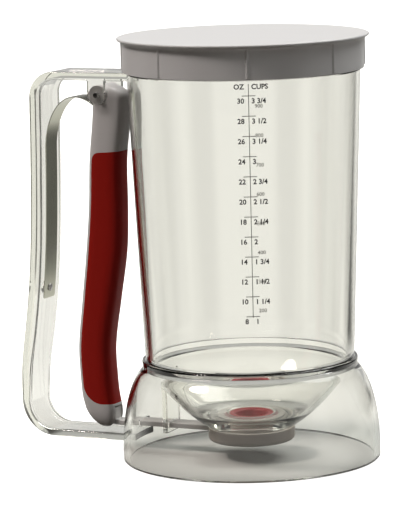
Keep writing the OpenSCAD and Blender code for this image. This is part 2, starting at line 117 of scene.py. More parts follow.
def sidePlate(name, outline, width, y=0):
    # outline: (distance from the cup's axis towards the handle, height) in millimetres
    piece = traceOutline(name, [Vector((cupX - h * mm, (y - width / 2) * mm, z * mm)) for h, z in outline])
    bpy.ops.mesh.edge_face_add()
    bpy.ops.mesh.extrude_region_move(TRANSFORM_OT_translate={"value": (0, width * mm, 0)})
    return closeUp(piece)


def floorPlate(name, outline, low, high):
    # outline: (towards the handle, sideways) from the cup's axis, in millimetres
    piece = traceOutline(name, [Vector((cupX - h * mm, y * mm, low * mm)) for h, y in outline])
    bpy.ops.mesh.edge_face_add()
    bpy.ops.mesh.extrude_region_move(TRANSFORM_OT_translate={"value": (0, 0, (high - low) * mm)})
    return closeUp(piece)


def roundBar(name, place, radius, length, along, corners):
    # a round bar, later bevelled or drilled; along is "x", "y" or "z"
    turn = {"x": (0, math.pi / 2, 0), "y": (math.pi / 2, 0, 0), "z": (0, 0, 0)}[along]
    bpy.ops.object.select_all(action="DESELECT")
    bpy.ops.mesh.primitive_cylinder_add(vertices=corners, radius=radius * mm, depth=length * mm,
                                        location=place, rotation=turn)
    piece = bpy.context.object
    piece.name = piece.data.name = name
    bpy.ops.object.transform_apply(location=True, rotation=True, scale=True)
    return piece


def block(name, low, high):
    # a box between two corners, in metres
    low, high = Vector(low), Vector(high)
    bpy.ops.object.select_all(action="DESELECT")
    bpy.ops.mesh.primitive_cube_add(size=1, location=(low + high) / 2, scale=high - low)
    piece = bpy.context.object
    piece.name = piece.data.name = name
    bpy.ops.object.transform_apply(location=True, rotation=True, scale=True)
    return piece


def finishWith(piece, kind, **settings):
    step = piece.modifiers.new(kind.lower(), kind)
    for key, value in settings.items():
        setattr(step, key, value)
    pickAlone(piece)
    bpy.ops.object.modifier_apply(modifier=step.name)


def combine(piece, tool, how):
    finishWith(piece, "BOOLEAN", operation=how, object=tool, solver="EXACT")
    bpy.data.objects.remove(tool)


def softenEdges(piece, width, angle, segments):
    finishWith(piece, "BEVEL", width=width * mm, segments=segments, limit_method="ANGLE",
               angle_limit=math.radians(angle), harden_normals=False)


def smoothFaces(piece, angle):
    # broad faces keep their own direction, and the narrow ones round the edges off
    pickAlone(piece)
    bpy.ops.object.shade_smooth_by_angle(angle=math.radians(angle))
    finishWith(piece, "WEIGHTED_NORMAL", mode="FACE_AREA", weight=100, keep_sharp=True)


def dress(piece, material, slot, body, *nodes):
    piece.data.materials.clear()
    piece.data.materials.append(material)
    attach(piece, body)
    if nodes:
        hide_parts(*nodes)


def arc(middle, radius, start, end, count):
    # points of an arc, angles in degrees
    turns = [math.radians(start + (end - start) * i / count) for i in range(count + 1)]
    return [(middle[0] + radius * math.cos(a), middle[1] + radius * math.sin(a)) for a in turns]


def roundCorner(before, corner, after, radius, count=4):
    # the points that round off one corner of an outline
    before, corner, after = Vector(before), Vector(corner), Vector(after)
    inWay, outWay = (before - corner).normalized(), (after - corner).normalized()
    half = inWay.angle(outWay) / 2
    reach = radius / math.tan(half)
    middle = corner + (inWay + outWay).normalized() * (radius / math.sin(half))
    first, last = corner + inWay * reach - middle, corner + outWay * reach - middle
    sweep = math.atan2(first.x * last.y - first.y * last.x, first.dot(last))
    start = math.atan2(first.y, first.x)
    turns = [start + sweep * k / count for k in range(count + 1)]
    return [(middle.x + radius * math.cos(a), middle.y + radius * math.sin(a)) for a in turns]


def newMaterial(name, **sockets):
    material = bpy.data.materials.new(name)
    material.use_nodes = True
    shader = material.node_tree.nodes["Principled BSDF"]
    for key, value in sockets.items():
        shader.inputs[key.replace("_", " ")].default_value = value
    return material


def linkNode(tree, kind, sources=(), give=0, **settings):
    # a new node; sources and settings are links from other nodes, or plain values
    node = tree.nodes.new("ShaderNode" + kind)
    values = list(zip(node.inputs, sources))
    for key, value in settings.items():
        if key in node.inputs:
            values.append((node.inputs[key], value))
        else:
            setattr(node, key, value)
    for socket, value in values:
        if isinstance(value, bpy.types.NodeSocket):
            tree.links.new(value, socket)
        else:
            socket.default_value = value
    return node.outputs[give]


def reckon(tree, operation, *sources):
    return linkNode(tree, "Math", sources, operation=operation)


def easedRange(tree, value, low, high, least=0.0, most=1.0):
    return linkNode(tree, "MapRange", (value, low, high, least, most), interpolation_type="SMOOTHSTEP")


def objectPattern(tree, stretch=(1, 1, 1)):
    # object coordinates centred on the cup's axis
    place = linkNode(tree, "TexCoord", give="Object")
    return linkNode(tree, "Mapping", (place,), Location=(-cupX * stretch[0], 0, 0), Scale=stretch)


def addGrain(material, scale, height, spread, stretch=(1, 1, 1)):
    # fine moulded or ground texture: bump in millimetres, and roughness that varies by spread
    tree = material.node_tree
    shader = tree.nodes["Principled BSDF"]
    noise = linkNode(tree, "TexNoise", (objectPattern(tree, stretch),), give="Fac", Scale=scale, Detail=3)
    bump = linkNode(tree, "Bump", Strength=1.0, Distance=height * mm, Height=noise)
    tree.links.new(bump, shader.inputs["Normal"])
    base = shader.inputs["Roughness"].default_value
    rough = linkNode(tree, "MapRange", (noise, 0.0, 1.0, base - spread, base + spread))
    tree.links.new(rough, shader.inputs["Roughness"])


# colour, shader settings, and grain: scale, height, spread and stretch
finishes = {
    "lidWhite": ((0.85, 0.86, 0.85), {"Roughness": 0.38, "IOR": 1.49}, (900, 0.004, 0.04)),
    "leverWhite": ((0.83, 0.82, 0.8), {"Roughness": 0.32, "IOR": 1.49}, (900, 0.004, 0.04)),
    "redGrip": ((0.43, 0.01, 0.004), {"Roughness": 0.5, "IOR": 1.4, "Specular_IOR_Level": 0.3},
                (1600, 0.012, 0.06)),
    "redSilicone": ((0.5, 0.02, 0.03), {"Roughness": 0.35, "IOR": 1.41}, (700, 0.01, 0.05)),
    "steelStrip": ((0.5, 0.5, 0.42), {"Metallic": 1, "Roughness": 0.2}, (900, 0.004, 0.06, (0.15, 4, 0.15))),
    "turnedSteel": ((0.46, 0.45, 0.44), {"Metallic": 1, "Roughness": 0.3}, (1500, 0.004, 0.06, (1, 0.2, 1))),
    "gateWhite": ((0.78, 0.77, 0.74), {"Roughness": 0.42, "IOR": 1.49}, (800, 0.005, 0.04)),
    # the cap's white is partly painted light: warmed towards pink for light bounced off the red parts, and
    # lightened for the light it lacks inside the base
    "capWhiteAndPaintedBounce": ((0.89, 0.83, 0.75), {"Roughness": 0.4, "IOR": 1.49}, (800, 0.005, 0.04)),
    "printInk": ((0.03, 0.03, 0.028), {"Roughness": 0.5}, (2500, 0.002, 0.06)),
    "printGrey": ((0.2, 0.2, 0.18), {"Roughness": 0.5}, (2500, 0.002, 0.06)),
    "printPale": ((0.6, 0.6, 0.55), {"Roughness": 0.5}, (2500, 0.002, 0.06))}


def solidFinish(name):
    colour, settings, grain = finishes[name]
    material = newMaterial(name, Base_Color=(*colour, 1), **settings)
    addGrain(material, *grain)
    return material


# straight and grazing: what each wall lets through; letOut: bounces before a caught ray is let out
clear = {"colour": (1, 1, 0.985, 1), "index": 1.5, "tint": (0.72, 0.75, 0.52, 1), "depth": 14,
         "from": 0.1, "to": 0.9, "straight": 0.93, "grazing": 0.55, "letOut": 10.5}


def clearPlastic():
    material = newMaterial("clearPlastic", Base_Color=clear["colour"], Roughness=0.0, IOR=clear["index"],
                           Transmission_Weight=1.0)
    tree = material.node_tree
    output = tree.nodes["Material Output"]
    tint = linkNode(tree, "VolumeAbsorption", Color=clear["tint"], Density=clear["depth"])
    tree.links.new(tint, output.inputs["Volume"])
    # light on its way to other pieces goes straight through, weaker where it grazes the plastic
    path = linkNode(tree, "LightPath").node
    lit = reckon(tree, "MAXIMUM", path.outputs["Is Shadow Ray"], path.outputs["Is Diffuse Ray"])
    graze = linkNode(tree, "LayerWeight", give="Facing", Blend=0.5)
    kept = easedRange(tree, graze, clear["from"], clear["to"], clear["straight"], clear["grazing"])
    through = linkNode(tree, "BsdfTransparent", Color=linkNode(tree, "CombineXYZ", (kept, kept, kept)))
    # and a ray caught between two walls is let out in the end
    caught = reckon(tree, "GREATER_THAN", path.outputs["Ray Depth"], clear["letOut"])
    plastic = tree.nodes["Principled BSDF"].outputs["BSDF"]
    whole = linkNode(tree, "MixShader", (reckon(tree, "MAXIMUM", lit, caught), plastic, through))
    tree.links.new(whole, output.inputs["Surface"])
    return material


cup = {"footR": 46.1, "topR": 51.0, "footZ": 45.0, "topZ": 171.1, "wall": 2.2,
       "landR": 50.75, "landZ": 171.5, "rimZ": 184.7, "rimEdge": 0.6}
base = {"r": 56.75, "h": 41.0, "band": 6.0, "wall": 2.3, "bellW": 13.75, "bellH": 37.0, "foot": 0.6,
        "windowW": 5.1, "windowLow": 10.15, "windowHigh": 13.45, "windowNear": 48, "windowFar": 60,
        "windowEdge": 0.5}
ring = {"r": 47.6, "edge": 0.9, "edgeRise": 3.1, "innerTop": 38.9, "rootIn": (45.0, 45.6),
        "throat": [(45.6, 40.4), (45.2, 41.8), (44.2, 42.9)]}
bowl = {"middle": (-16.8, 71.2), "curve": 67.7, "wall": 2.3, "floorZ": 19.9, "fillet": 8.0, "wallFillet": 4.0,
        "meetZ": 46.15, "holeR": 10.65, "holeEdge": 0.5, "shoulderZ": 13.6, "neckR": 16.6, "neckZ": 10.9,
        "neckEdge": 0.3, "pocketR": 15.32, "pocketTop": 16.6, "slotLow": 8, "slotTop": 13.0, "slotW": 8.8,
        "slotLong": 24, "lugR": 17.6, "lugRoot": 1, "lugLift": 0.05, "lugHigh": 12.1, "lugHalf": 14}
guide = {"at": 39.7, "thick": 2.4, "halfWide": 6.6, "low": 8.5, "sink": 1.2, "edge": 0.3,
         "windowW": 4.8, "windowLow": 10.45, "windowHigh": 13.15}
handle = {"reach": 109.6, "width": 20.0, "web": 2.8, "flange": 2.4, "channel": 5.3, "top": 170.0, "low": 4.9,
          "cornerUp": 12.0, "cornerLow": 16.0, "bellyZ": 27.9, "belly": 8.4, "bellyK": 0.093, "edge": 0.55,
          "lipUp": 3.7, "lipUpR": 7.0, "lipLow": 3.1, "lipLowR": 12.0, "legLip": 3.8, "lipRun": 28.0,
          "stop": 44.0, "grooveStop": 40, "trim": 0.8}
pivot = {"at": 67.8, "z": 159.9, "earR": 4.2, "pinR": 1.3, "pinLong": 20, "pinEdge": 0.25}
rivet = {"z": 71.2, "bossR": 2.8, "bossEdge": 0.3, "bossShort": 0.5, "springOff": 5.6, "shankR": 1.1,
         "sink": 0.3, "headR": 1.7, "headFlat": 0.55, "headGap": 0.05}


def bellRadius(z, inset):
    rise = max(0.0, z - base["band"]) / (base["bellH"] - inset)
    return base["r"] - base["bellW"] + (base["bellW"] - inset) * math.sqrt(max(0.0, 1 - rise * rise))


def bowlAngle(z, radius):
    return math.degrees(math.asin((z - bowl["middle"][1]) / radius))


def legReach(z):
    top = handle["top"] - handle["cornerUp"]
    u = max(0.0, z - handle["bellyZ"]) / (top - handle["bellyZ"])
    k = handle["bellyK"]
    return handle["reach"] - handle["belly"] * (1 + k) * u * u / (u * u + k)


def handleLoop(inset, stop=handle["stop"]):
    # the handle's outline from the cup round to the base, inset from its outer face
    top, low = handle["top"], handle["low"]
    up, down = handle["cornerUp"], handle["cornerLow"]
    legTop = top - up
    leg = [legTop + (handle["bellyZ"] - legTop) * i / 24 for i in range(1, 24)]
    return ([(stop, top - inset)] + arc((legReach(legTop) - up, legTop), up - inset, 90, 0, 14)
            + [(legReach(z) - inset, z) for z in leg] + [(handle["reach"] - inset, handle["bellyZ"])]
            + arc((handle["reach"] - down, low + down), down - inset, 0, -90, 16) + [(stop, low + inset)])


def lipLine():
    # inner edge of the side flanges, which stand far in along the leg only
    h, stop = handle, handle["stop"]
    high, foot = h["top"] - h["lipUp"] - h["lipUpR"], h["low"] + h["lipLow"] + h["lipLowR"]
    line = [(stop, h["top"] - h["lipUp"])]
    line += arc((legReach(high) - h["channel"] - h["lipUpR"], high), h["lipUpR"], 90, 0, 10)
    for i in range(1, 24):
        z = high + (foot - high) * i / 24
        depth = h["legLip"] + (h["channel"] - h["legLip"]) * min(1, max(0, (z - foot) / h["lipRun"]))
        line.append((legReach(z) - depth, z))
    line += arc((h["reach"] - h["legLip"] - h["lipLowR"], foot), h["lipLowR"], 0, -90, 12)
    return line + [(stop, h["low"] + h["lipLow"])]


def jugProfile():
    # cup, bowl and outlet neck
    middle, fillet, hole = bowl["middle"], bowl["fillet"], bowl["holeEdge"]
    innerCurve = bowl["curve"] - bowl["wall"]
    drop = middle[1] - bowl["floorZ"] - fillet
    filletMiddle = (middle[0] + math.sqrt((innerCurve - fillet) ** 2 - drop ** 2), bowl["floorZ"] + fillet)
    turnA = math.degrees(math.atan2(filletMiddle[1] - middle[1], filletMiddle[0] - middle[0]))
    edge, wall = cup["rimEdge"], cup["wall"]
    rimMiddle = cup["rimZ"] - edge
    outerBowl = arc(middle, bowl["curve"], bowlAngle(bowl["meetZ"], bowl["curve"]),
                    bowlAngle(bowl["shoulderZ"], bowl["curve"]), 30)
    wallTop = (cup["topR"], cup["topZ"])
    outside = (arc((cup["landR"] - edge, rimMiddle), edge, 90, 0, 4) + [(cup["landR"], cup["landZ"]), wallTop]
               + roundCorner(wallTop, outerBowl[0], outerBowl[1], bowl["wallFillet"]) + outerBowl[1:])
    under = [(bowl["neckR"], bowl["shoulderZ"]), (bowl["neckR"], bowl["neckZ"] + bowl["neckEdge"]),
             (bowl["neckR"] - bowl["neckEdge"], bowl["neckZ"]), (bowl["slotW"], bowl["neckZ"])]
    pocket = [(bowl["slotW"], bowl["slotTop"]), (bowl["pocketR"], bowl["slotTop"]),
              (bowl["pocketR"], bowl["pocketTop"]), (bowl["holeR"], bowl["pocketTop"])]
    innerBowl = arc(middle, innerCurve, turnA, bowlAngle(cup["footZ"], innerCurve), 24)[1:]
    wallTop = (cup["topR"] - wall, cup["topZ"])
    inside = (arc((bowl["holeR"] + hole, bowl["floorZ"] - hole), hole, 180, 90, 3)
              + arc(filletMiddle, fillet, -90, turnA, 10) + innerBowl[:-1]
              + roundCorner(innerBowl[-2], innerBowl[-1], wallTop, bowl["wallFillet"])
              + [wallTop, (cup["landR"] - wall, cup["landZ"])]
              + arc((cup["landR"] - wall + edge, rimMiddle), edge, 180, 90, 4))
    return outside + under + pocket + inside


def baseProfile():
    # bell-shaped base; the ring round its top reaches into the cup's wall
    outerBell = [base["h"] + (base["band"] - base["h"]) * i / 30 for i in range(31)]
    innerBell = [(bellRadius(z, base["wall"]), z) for z in reversed(outerBell) if z < ring["innerTop"]]
    foot, innerR = base["foot"], base["r"] - base["wall"]
    return ([ring["rootIn"]]
            + arc((ring["r"] - ring["edge"], base["h"] + ring["edgeRise"]), ring["edge"], 110, -25, 7)
            + [(bellRadius(z, 0), z) for z in outerBell] + [(base["r"], foot), (base["r"] - foot, 0)]
            + [(innerR + foot, 0), (innerR, foot)] + innerBell + ring["throat"])


def trimProfile(inset):
    # the jug's outside, a little inside its skin, that the handle is cut back to
    heights = [base["band"] + (base["h"] - base["band"]) * i / 16 for i in range(17)]
    return ([(0, -5), (base["r"] - inset, -5)] + [(bellRadius(z, 0) - inset, z) for z in heights]
            + [(cup["footR"] - inset, base["h"] + 0.5), (cup["footR"] - inset, cup["footZ"]),
               (cup["topR"] - inset, cup["topZ"]), (0, cup["topZ"])])


def makeEar(side):
    # one of the two ears that hold the pivot pin
    under = handle["top"] - handle["web"]
    outline = (arc((pivot["at"], pivot["z"]), pivot["earR"], 0, -180, 24)
               + [(pivot["at"] - pivot["earR"], under), (pivot["at"] + pivot["earR"], under)])
    return sidePlate("ear", outline, handle["flange"], side * (handle["width"] - handle["flange"]) / 2)


def makeHandle():
    grip = sidePlate("handleLoop", handleLoop(0) + lipLine()[::-1], handle["width"])
    for side in (-1, 1):
        combine(grip, makeEar(side), "UNION")
    softenEdges(grip, handle["edge"], 50, 3)
    # the channel's cutter reaches past the inner edge of the flanges
    stop = handle["grooveStop"]
    channel = handleLoop(handle["web"], stop) + handleLoop(handle["channel"] + 4, stop)[::-1]
    combine(grip, sidePlate("groove", channel, handle["width"] - 2 * handle["flange"]), "DIFFERENCE")
    bossEnd = legReach(rivet["z"]) - rivet["springOff"] + rivet["bossShort"]
    bossBack = legReach(rivet["z"]) - handle["web"] / 2
    boss = roundBar("boss", (cupX - (bossEnd + bossBack) / 2 * mm, 0, rivet["z"] * mm), rivet["bossR"],
                    bossBack - bossEnd, "x", 40)
    softenEdges(boss, rivet["bossEdge"], 50, 2)
    combine(grip, boss, "UNION")
    combine(grip, turnPiece("handleTrim", trimProfile(handle["trim"])), "DIFFERENCE")
    return grip


def makeGuide():
    # the plate under the bowl that the gate's bar slides through
    far, near = guide["at"] + guide["thick"] / 2, guide["at"] - guide["thick"] / 2
    top = {h: bowl["middle"][1] - math.sqrt(bowl["curve"] ** 2 - (h - bowl["middle"][0]) ** 2) + guide["sink"]
           for h in (near, far)}
    outline = [(near, guide["low"]), (far, guide["low"]), (far, top[far]), (near, top[near])]
    plate = sidePlate("guidePlate", outline, 2 * guide["halfWide"])
    softenEdges(plate, guide["edge"], 50, 2)
    half = guide["windowW"] * mm
    window = block("guideWindow", (cupX - (far + 2) * mm, -half, guide["windowLow"] * mm),
                   (cupX - (near - 2) * mm, half, guide["windowHigh"] * mm))
    combine(plate, window, "DIFFERENCE")
    return plate


def makeClearBody():
    body = turnPiece("clearBody", jugProfile(), 160)
    combine(body, turnPiece("clearBase", baseProfile(), 160), "UNION")
    combine(body, makeHandle(), "UNION")
    combine(body, makeGuide(), "UNION")
    rootR, lugHalf = bowl["neckR"] - bowl["lugRoot"], bowl["lugHalf"]
    for side in (90, -90):
        outer = arc((0, 0), bowl["lugR"], side - lugHalf, side + lugHalf, 10)
        inner = arc((0, 0), rootR, side + lugHalf, side - lugHalf, 10)
        lug = floorPlate("lug", outer + inner, bowl["neckZ"] + bowl["lugLift"], bowl["lugHigh"])
        combine(body, lug, "UNION")
    half = bowl["slotW"] * mm
    slot = block("gateSlot", (cupX - bowl["slotLong"] * mm, -half, bowl["slotLow"] * mm),
                 (cupX, half, bowl["slotTop"] * mm))
    combine(body, slot, "DIFFERENCE")
    half = base["windowW"] * mm
    window = block("barWindow", (cupX - base["windowFar"] * mm, -half, base["windowLow"] * mm),
                   (cupX - base["windowNear"] * mm, half, base["windowHigh"] * mm))
    softenEdges(window, base["windowEdge"], 50, 2)
    combine(body, window, "DIFFERENCE")
    smoothFaces(body, 30)
    return body


lid = {"top": 187.0, "thick": 1.8, "skirtZ": 171.9, "inR": 51.05, "outR": 52.65, "footEdge": 0.3,
       "lipR": 55.0, "lipThick": 1.3, "cove": 1.7, "plugR": 48.25, "plugWall": 1.6, "plugLow": 178.0,
       "plugEdge": 0.4, "plugLead": 0.8, "ribs": 8, "ribStart": -63.5, "ribOut": 0.6, "ribWide": 1.1,
       "ribSink": 0.6, "ribFlare": 0.25, "ribLow": 172.7, "ribReach": 0.55}


def makeLid():
    top, half = lid["top"], lid["lipThick"] / 2
    skirtTop = top - lid["lipThick"] - lid["cove"]
    lipMiddle = lid["lipR"] - half
    under = top - lid["thick"]
    plugR, plugIn, edge = lid["plugR"], lid["plugR"] - lid["plugWall"], lid["plugEdge"]
    foot = lid["footEdge"]
    profile = ([(0, under), (plugIn, under)] + arc((plugIn + edge, lid["plugLow"] + edge), edge, 180, 270, 3)
               + [(plugR - edge, lid["plugLow"]), (plugR, lid["plugLow"] + lid["plugLead"]), (plugR, under),
                  (lid["inR"], under)]
               + arc((lid["inR"] + foot, lid["skirtZ"] + foot), foot, 180, 270, 3)
               + arc((lid["outR"] - foot, lid["skirtZ"] + foot), foot, 270, 360, 3)
               + arc((lid["outR"] + lid["cove"], skirtTop), lid["cove"], 180, 90, 8)
               + arc((lipMiddle, top - half), half, -70, 90, 8) + [(0, top)])
    piece = turnPiece("lidShell", profile, 160)
    ribTop = skirtTop + lid["cove"] * lid["ribReach"]
    outR, out, half, flare = lid["outR"], lid["ribOut"], lid["ribWide"] / 2, lid["ribFlare"]
    # half of a rib's outline, from its root to its crest; the other half mirrors it
    flank = [(outR - lid["ribSink"], -half - flare), (outR + 0.02, -half - flare * 0.8),
             (outR + out * 0.7, -half * 0.7), (outR + out, -half * 0.25)]
    outline = flank + [(r, -w) for r, w in reversed(flank)]
    for i in range(lid["ribs"]):
        turn = math.radians(lid["ribStart"] + 360 / lid["ribs"] * i)
        turned = [(-(r * math.cos(turn) - w * math.sin(turn)), r * math.sin(turn) + w * math.cos(turn))
                  for r, w in outline]
        combine(piece, floorPlate("gripRib", turned, lid["ribLow"], ribTop), "UNION")
    smoothFaces(piece, 35)
    return piece


lever = {"footZ": 9.2, "headZ": 164.0, "footDome": 10.0, "headDome": 6.0, "width": 14.0, "square": 3.4,
         "corners": 64, "gripLow": 21.0, "gripHigh": 134.0, "gripThick": 2.5, "gripEdge": 2.5, "gripFoot": 9,
         "gripFootR": 10, "gripHead": 5, "gripHeadR": 4, "bossR": 4.3, "bossWide": 14.6, "bossEdge": 0.4,
         "linkAt": 68.8, "linkZ": 14.0, "linkR": 1.5, "linkBoreR": 1.52, "linkLong": 9.8, "forkW": 6.8,
         "forkLow": 7, "forkTop": 18.95, "forkBack": 72.4, "pivotBoreR": 1.36, "slotWide": 11.0,
         "slotHalf": 0.45, "slotLong": 14, "slotSink": 0.4}
# share of the height, middle of the section from the pivot outwards, depth of the section
leverStations = [(0, 2.5, 15), (0.08, 6.1, 15.4), (0.15, 7.2, 15.4), (0.24, 7.5, 15.4), (0.38, 4.5, 16.4),
                 (0.52, 1.4, 17.4), (0.65, 0, 16.3), (0.78, -0.6, 15.5), (0.91, -2.9, 15.8),
                 (0.97, -3.1, 15.7), (1, -1.5, 15.5)]
springRoot = (pivot["at"] + 1.0, pivot["z"] - 6.8)
springLead = (pivot["at"] + 3.7, pivot["z"] - 4.9)  # where the spring leaves the lever


def stationValue(share, column):
    # smooth value between the stations
    rows = leverStations
    i = max(k for k in range(len(rows) - 1) if k == 0 or rows[k][0] <= share)

    def slope(k):
        a, b = max(k - 1, 0), min(k + 1, len(rows) - 1)
        return (rows[b][column] - rows[a][column]) / (rows[b][0] - rows[a][0])

    d = rows[i + 1][0] - rows[i][0]
    t = (share - rows[i][0]) / d
    return ((2 * t - 3) * t * t * (rows[i][column] - rows[i + 1][column]) + rows[i][column]
            + d * (t * (1 - t) ** 2 * slope(i) - t * t * (1 - t) * slope(i + 1)))


def leverSection(z):
    # middle, depth and width of the lever at a height
    share = (z - lever["footZ"]) / (lever["headZ"] - lever["footZ"])
    a = max(0, lever["footZ"] + lever["footDome"] - z) / lever["footDome"]
    b = max(0, z - lever["headZ"] + lever["headDome"]) / lever["headDome"]
    dome = math.sqrt(max(0.02, 1 - max(a, b) ** 2))
    depth = stationValue(share, 2) * dome
    return pivot["at"] + stationValue(share, 1), depth, lever["width"] * math.sqrt(dome)


def leverLoft(name):
    foot, head = lever["footZ"], lever["headZ"]
    low, high = foot + lever["footDome"], head - lever["headDome"]
    heights = ([foot + lever["footDome"] * (1 - math.cos(math.radians(9 * i))) for i in range(10)]
               + [low + (high - low) * i / 56 for i in range(1, 56)]
               + [head - lever["headDome"] * (1 - math.cos(math.radians(10 * i))) for i in range(9, -1, -1)])
    bpy.ops.object.select_all(action="DESELECT")
    bpy.ops.mesh.primitive_circle_add(vertices=lever["corners"], radius=mm, fill_type="NGON",
                                      location=(0, 0, 0))
    piece = bpy.context.object
    piece.name = piece.data.name = name
    at, depth, width = leverSection(heights[0])
    for point in piece.data.vertices:
        a = math.atan2(point.co.y, point.co.x)
        across = [math.copysign(abs(v) ** (2 / lever["square"]), v) for v in (math.cos(a), math.sin(a))]
        point.co = (cupX - at * mm + across[0] * depth / 2 * mm, across[1] * width / 2 * mm, heights[0] * mm)
    bpy.ops.object.mode_set(mode="EDIT")
    bpy.ops.mesh.select_all(action="SELECT")
    for z, before in zip(heights[1:], heights):
        was, now = leverSection(before), leverSection(z)
        step = ((was[0] - now[0]) * mm, 0, (z - before) * mm)
        bpy.ops.mesh.extrude_region_move(TRANSFORM_OT_translate={"value": step})
        bpy.ops.transform.resize(value=(now[1] / was[1], now[2] / was[2], 1),
                                 center_override=(cupX - now[0] * mm, 0, z * mm))
    return closeUp(piece)


def gripZone():
    # the space of the soft grip round the core's front and sides
    low, high, edge = lever["gripLow"], lever["gripHigh"], lever["gripEdge"]
    reach, behind = pivot["at"] - lever["width"], pivot["at"] + lever["width"]
    footR, headR = lever["gripFootR"], lever["gripHeadR"]
    foot, neck, top = low + lever["gripFoot"], high - lever["gripHead"], high - headR
    rise = [foot + (neck - foot) * i / 22 for i in range(23)]
    back = {z: leverSection(z)[0] + leverSection(z)[1] / 2 for z in rise + [top]}
    front = {z: leverSection(z)[0] - leverSection(z)[1] / 2 for z in rise + [low, low + 4, top]}
    outer = ([(reach, low - 1), (front[low], low - 1)]
             + arc((back[foot] - edge - footR, foot), footR, -80, 0, 9)
             + [(back[z] - edge, z) for z in rise[1:]]
             + arc((back[top] - edge - headR, top), headR, 10, 90, 7) + [(reach, high + 1)])
    thick = lever["gripThick"]
    inner = ([(behind, low - 2), (front[low + 4] + thick, low - 2)] + [(front[z] + thick, z) for z in rise]
             + [(front[top] + thick, high + 2), (behind, high + 2)])
    zone = sidePlate("gripZone", outer, lever["width"] + 2)
    combine(zone, sidePlate("gripCore", inner, lever["width"] - 2 * thick), "DIFFERENCE")
    return zone


def makeLever():
    core = leverLoft("leverCore")
    grip = leverLoft("leverGrip")
    combine(grip, gripZone(), "INTERSECT")
    combine(core, gripZone(), "DIFFERENCE")
    pivotPlace = (cupX - pivot["at"] * mm, 0, pivot["z"] * mm)
    boss = roundBar("leverBoss", pivotPlace, lever["bossR"], lever["bossWide"], "y", 56)
    softenEdges(boss, lever["bossEdge"], 50, 3)
    combine(core, boss, "UNION")
    combine(core, roundBar("pivotBore", pivotPlace, lever["pivotBoreR"], 24, "y", 32), "DIFFERENCE")
    # the link pin's bore is open on the +Y side only
    boreLong = lever["linkLong"] / 2 + lever["width"]
    aside = (lever["width"] - lever["linkLong"] / 2) / 2
    boreAt = (cupX - lever["linkAt"] * mm, aside * mm, lever["linkZ"] * mm)
    combine(core, roundBar("linkBore", boreAt, lever["linkBoreR"], boreLong, "y", 32), "DIFFERENCE")
    reach, forkBack = pivot["at"] - lever["width"], lever["forkBack"]
    fork = [(reach, lever["forkLow"]), (forkBack, lever["forkLow"]), (forkBack, lever["forkTop"]),
            (reach, lever["forkTop"])]
    combine(core, sidePlate("forkGap", fork, lever["forkW"]), "DIFFERENCE")
    way = (Vector(springLead) - Vector(springRoot)).normalized()
    side = Vector((-way.y, way.x)) * lever["slotHalf"]
    start = Vector(springRoot) - way * lever["slotSink"]
    end = start + way * lever["slotLong"]
    corners = [start - side, end - side, end + side, start + side]
    combine(core, sidePlate("springSlot", [tuple(c) for c in corners], lever["slotWide"]), "DIFFERENCE")
    smoothFaces(core, 38)
    smoothFaces(grip, 38)
    return core, grip


spring = {"width": 10.4, "thick": 0.5, "low": 66.5, "run": 69.5, "hole": 1.12, "edge": 0.12, "cornerR": 1.2,
          "bends": 110, "pullOut": (18.4, 5.5), "pullDown": (-0.7, -9.7), "headPast": (2.5, 2.3)}


def springPath():
    bend = spring["low"] + spring["run"]
    off = rivet["springOff"]
    pullOut, pullDown = spring["pullOut"], spring["pullDown"]
    p = [springLead, (pivot["at"] + pullOut[0], pivot["z"] + pullOut[1]),
         (legReach(bend) - off + pullDown[0], pivot["z"] + pullDown[1]), (legReach(bend) - off, bend)]
    points = [Vector(springRoot)]
    for i in range(61):
        t = i / 60
        s = 1 - t
        weights = (s ** 3, 3 * s * s * t, 3 * s * t * t, t ** 3)
        points.append(Vector([sum(w * q[k] for w, q in zip(weights, p)) for k in (0, 1)]))
    for i in range(1, 41):
        h = bend - spring["run"] * i / 40
        points.append(Vector((legReach(h) - off, h)))
    return points


def makeSpring():
    path = springPath()
    lengths = [0.0]
    for a, b in zip(path, path[1:]):
        lengths.append(lengths[-1] + (b - a).length)
    total = lengths[-1]
    # cut flat, with its length along X, and bent to the path afterwards
    half, r, low = spring["width"] / 2, spring["cornerR"], -spring["thick"] / 2 * mm
    outline = ([(0, -half), (total - r, -half)] + arc((total - r, -half + r), r, -90, 0, 4)[1:]
               + arc((total - r, half - r), r, 0, 90, 4) + [(0, half)])
    piece = traceOutline("leafSpring", [Vector((s * mm, y * mm, low)) for s, y in outline])
    bpy.ops.mesh.edge_face_add()
    bpy.ops.mesh.extrude_region_move(TRANSFORM_OT_translate={"value": (0, 0, spring["thick"] * mm)})
    closeUp(piece)
    holeAt = total - (rivet["z"] - spring["low"])
    combine(piece, roundBar("springHole", (holeAt * mm, 0, 0), spring["hole"], 4, "z", 32), "DIFFERENCE")
    softenEdges(piece, spring["edge"], 50, 2)
    pickAlone(piece)
    bpy.ops.object.mode_set(mode="EDIT")
    step = total / spring["bends"]
    for i in range(1, spring["bends"]):
        bpy.ops.mesh.select_all(action="SELECT")
        bpy.ops.mesh.bisect(plane_co=(step * i * mm, 0, 0), plane_no=(1, 0, 0))
    bpy.ops.object.mode_set(mode="OBJECT")
    for point in piece.data.vertices:
        s = min(max(point.co.x / mm, 0), total)
        k = max(j for j in range(len(lengths) - 1) if j == 0 or lengths[j] <= s)
        share = (s - lengths[k]) / (lengths[k + 1] - lengths[k])
        here = path[k].lerp(path[k + 1], share)
        before, after = path[max(k - 1, 0)], path[min(k + 2, len(path) - 1)]
        wayA, wayB = (path[k + 1] - before).normalized(), (after - path[k]).normalized()
        way = wayA.lerp(wayB, share).normalized()
        out = Vector((-way.y, way.x)) * (point.co.z / mm)
        point.co = (cupX - (here.x + out.x) * mm, point.co.y, (here.y + out.y) * mm)
    pickAlone(piece)
    bpy.ops.object.mode_set(mode="EDIT")
    closeUp(piece)
    smoothFaces(piece, 40)
    return piece


